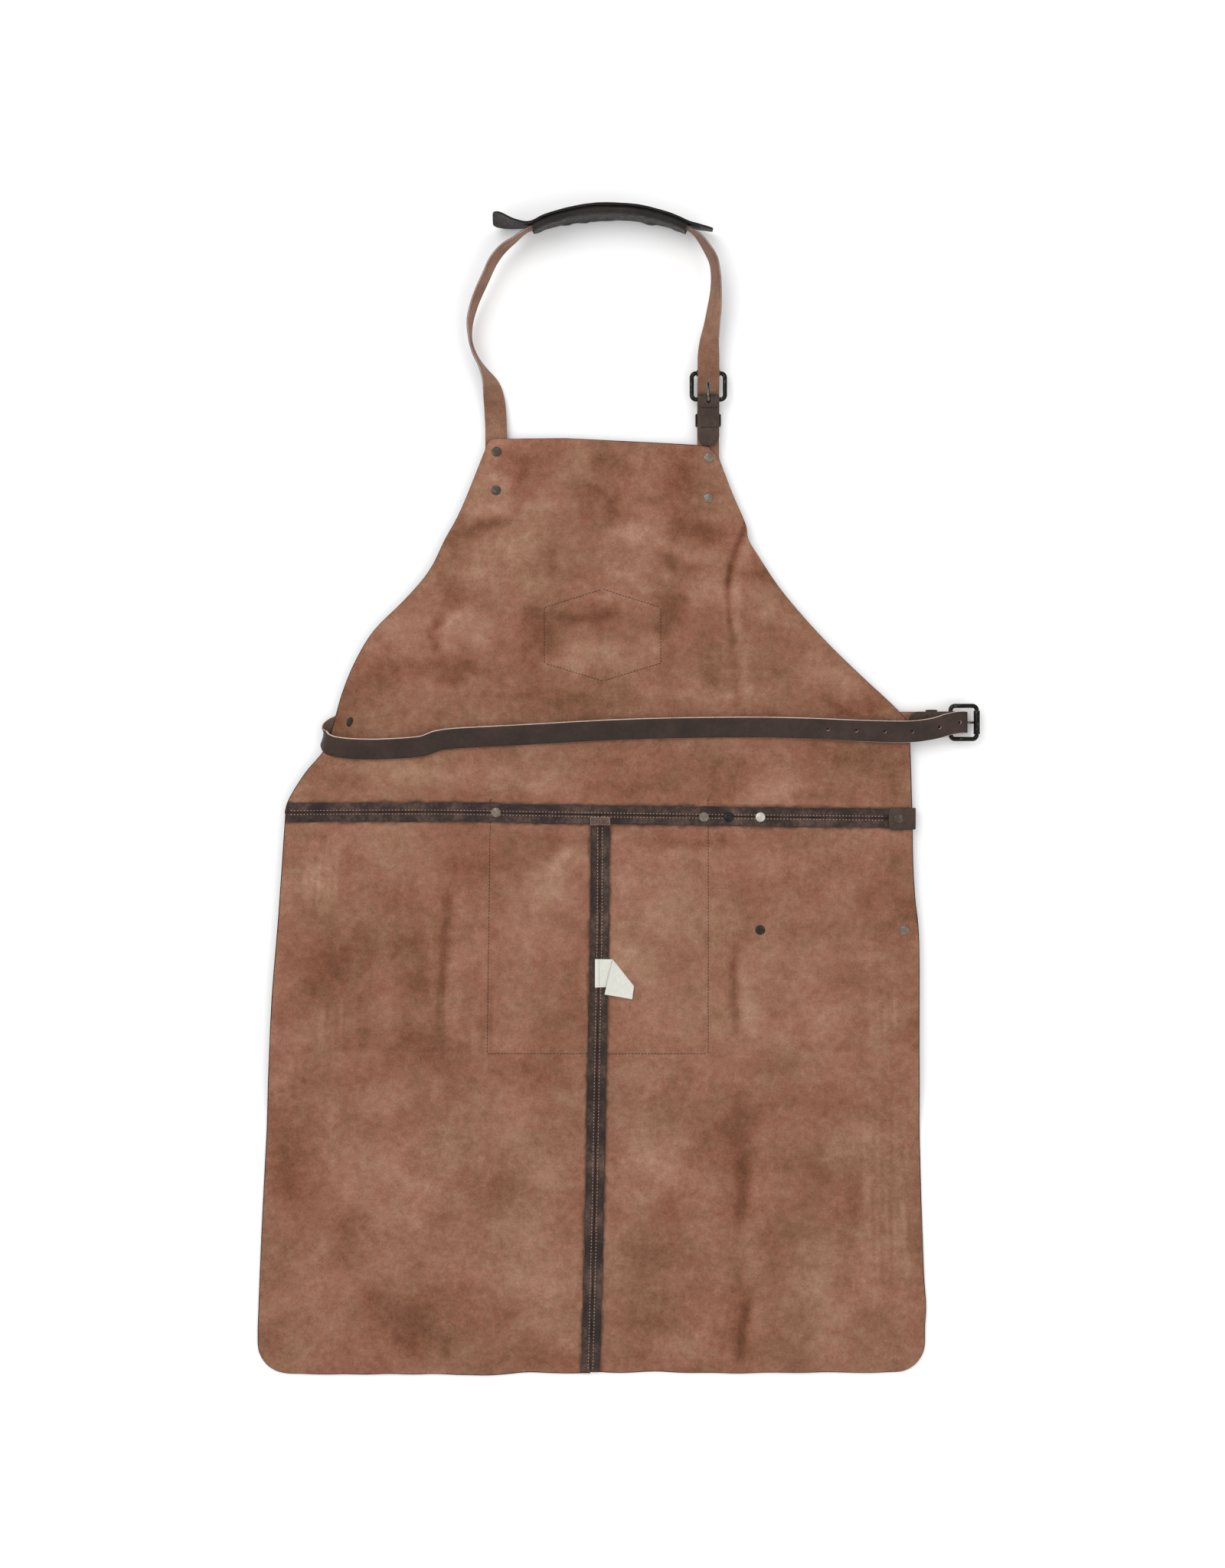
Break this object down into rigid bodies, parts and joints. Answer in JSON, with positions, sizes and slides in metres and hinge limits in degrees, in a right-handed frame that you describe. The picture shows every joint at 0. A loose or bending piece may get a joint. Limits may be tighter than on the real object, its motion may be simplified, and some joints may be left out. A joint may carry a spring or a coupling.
{
  "type": "welding apron",
  "caption": "Leather welding apron lying flat on its front: suede body of three panels, buckled neck strap with a pad, buckled waist belt, front pocket and tool straps.",
  "frame": {"origin": "middle of the footprint on the surface that the apron lies on", "axes": "+Y towards the neck, +Z out of the wearer side, +X to the right as seen from above"},
  "size_m": [0.6653, 1.071, 0.04],
  "materials": {
    "body_suede": "matt split suede, mottled red-brown",
    "grain_leather": "dark brown pull-up grain, low sheen",
    "strap_leather": "matt flesh side, light brown",
    "pad_leather": "near-black smooth leather",
    "gunmetal": "worn gunmetal plating",
    "rivet_steel": "dull nickel",
    "label_satin": "white satin tape, blank"
  },
  "bodies": {
    "apron": {"bib_panel": "body_suede", "skirt_panel_left": "body_suede", "skirt_panel_right": "body_suede", "waist_seam_upper": "grain_leather", "waist_seam_lower_left": "grain_leather", "waist_seam_lower_right": "grain_leather", "skirt_seam_left": "grain_leather", "skirt_seam_right": "grain_leather", "chest_patch": "grain_leather", "front_pocket": "body_suede", "tool_strap_upper": "grain_leather", "tool_strap_lower": "grain_leather", "care_label": "label_satin", "neck_strap": "strap_leather", "neck_buckle_tab": "grain_leather", "neck_keeper": "grain_leather", "waist_belt": "grain_leather", "waist_buckle_tab": "grain_leather", "waist_keeper": "grain_leather", "bib_rivet_caps": "gunmetal", "bib_rivet_posts": "rivet_steel", "pocket_rivet_caps": "rivet_steel", "pocket_rivet_posts": "rivet_steel", "tool_strap_rivet_caps": "rivet_steel", "tool_strap_rivet_posts": "rivet_steel", "tool_strap_stud_cap": "gunmetal", "tool_strap_stud_post": "rivet_steel", "edge_rivet_cap": "gunmetal", "edge_rivet_post": "rivet_steel", "belt_rivet_cap": "gunmetal", "belt_rivet_post": "rivet_steel", "waist_tab_rivet_caps": "gunmetal", "waist_tab_rivet_posts": "rivet_steel"},
    "neck_pad": {"neck_pad_base": "pad_leather", "neck_pad_sleeve": "pad_leather"},
    "neck_frame": {"neck_buckle_frame": "gunmetal"},
    "neck_prong": {"neck_buckle_prong": "gunmetal"},
    "neck_roller": {"neck_buckle_roller": "gunmetal"},
    "waist_frame": {"waist_buckle_frame": "gunmetal"},
    "waist_prong": {"waist_buckle_prong": "gunmetal"},
    "waist_roller": {"waist_buckle_roller": "gunmetal"}
  },
  "joints": [
    {"name": "neck_pad_slide", "type": "hinge", "parent": "apron", "child": "neck_pad", "pos_m": [-0.00725, 0.3855, 0.02], "axis": [0, 0, 1], "range_deg": [-3, 3]},
    {"name": "neck_frame_tilt", "type": "hinge", "parent": "apron", "child": "neck_frame", "pos_m": [0.08345, 0.362, 0.0096], "axis": [1, 0, 0], "range_deg": [-7, 0]},
    {"name": "neck_prong_tilt", "type": "hinge", "parent": "apron", "child": "neck_prong", "pos_m": [0.08345, 0.362, 0.0096], "axis": [1, 0, 0], "range_deg": [-7, 0]},
    {"name": "neck_roller_spin", "type": "hinge", "parent": "neck_frame", "child": "neck_roller", "pos_m": [0.08345, 0.386, 0.0096], "axis": [1, 0, 0], "continuous": true},
    {"name": "waist_frame_tilt", "type": "hinge", "parent": "apron", "child": "waist_frame", "pos_m": [0.30625, 0.065, 0.0096], "axis": [0, -1, 0], "range_deg": [0, 105]},
    {"name": "waist_prong_tilt", "type": "hinge", "parent": "apron", "child": "waist_prong", "pos_m": [0.30625, 0.065, 0.0096], "axis": [0, -1, 0], "range_deg": [-4, 0]},
    {"name": "waist_roller_spin", "type": "hinge", "parent": "waist_frame", "child": "waist_roller", "pos_m": [0.33025, 0.065, 0.0096], "axis": [0, -1, 0], "continuous": true}
  ],
  "couplings": [
    {"joint": "neck_prong_tilt", "follows": "neck_frame_tilt", "ratio": 1}
  ]
}
